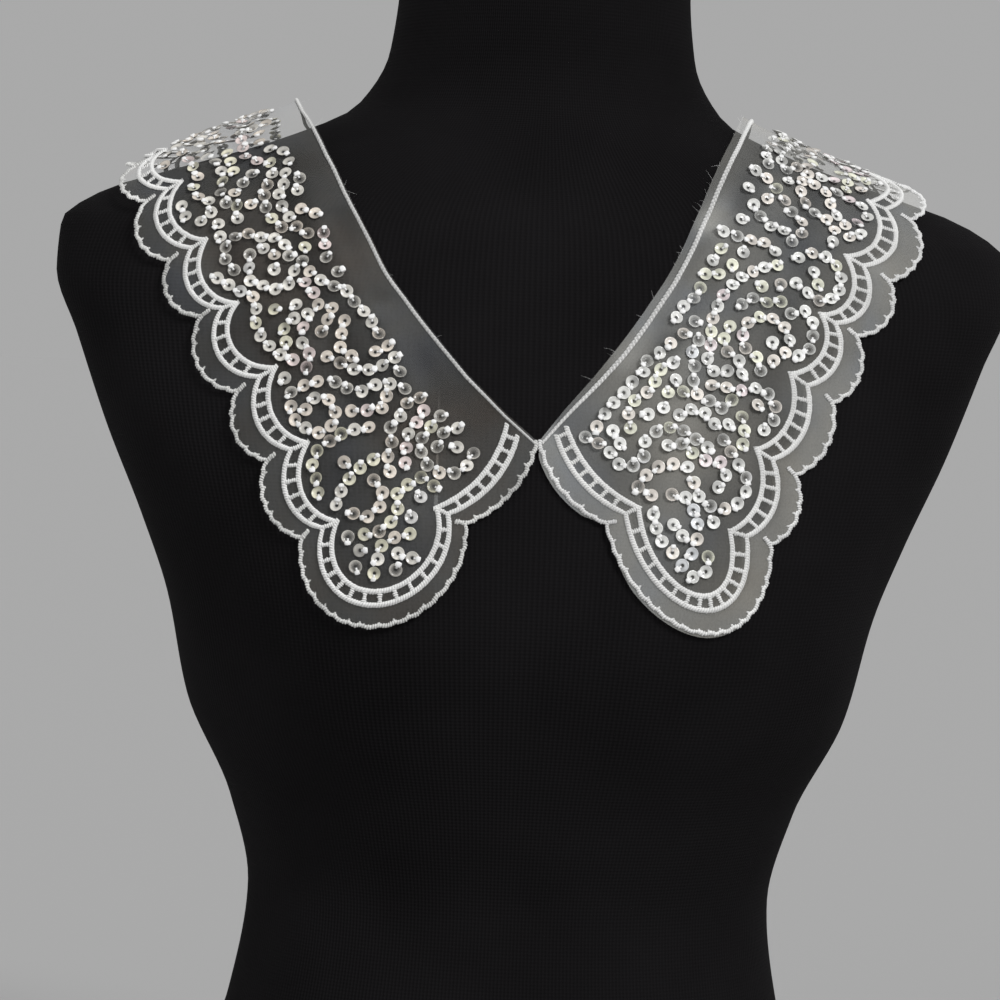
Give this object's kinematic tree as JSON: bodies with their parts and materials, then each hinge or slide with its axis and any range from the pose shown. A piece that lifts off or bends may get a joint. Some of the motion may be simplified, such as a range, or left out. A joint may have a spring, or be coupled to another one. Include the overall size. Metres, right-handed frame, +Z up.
{
  "type": "lace collar on a dress form",
  "caption": "Sheer embroidered collar with scalloped edges, ladder bands and sequins, lying round the neck of a limbless dress form.",
  "frame": {"origin": "middle of the part's box on the dress form's flat base", "axes": "+Z up along the form's neck, the form's front faces -Y, +X to the right seen from the front"},
  "size_m": [0.374, 0.2218, 0.6],
  "materials": {
    "organza": "sheer plain-weave organza with a soft sheen",
    "satin_thread": "dense satin-stitched embroidery thread with a sheen",
    "jersey": "matt black fine-ribbed jersey stretched over a form",
    "sequin": "pearly, slightly iridescent cupped sequins"
  },
  "bodies": {
    "root": {"dress_form": "jersey", "collar_left": "organza", "collar_right": "organza", "neck_cord_left": "satin_thread", "neck_cord_right": "satin_thread", "scallop_edge_left": "satin_thread", "scallop_edge_right": "satin_thread", "ladder_left": "satin_thread", "ladder_right": "satin_thread"}
  },
  "joints": []
}
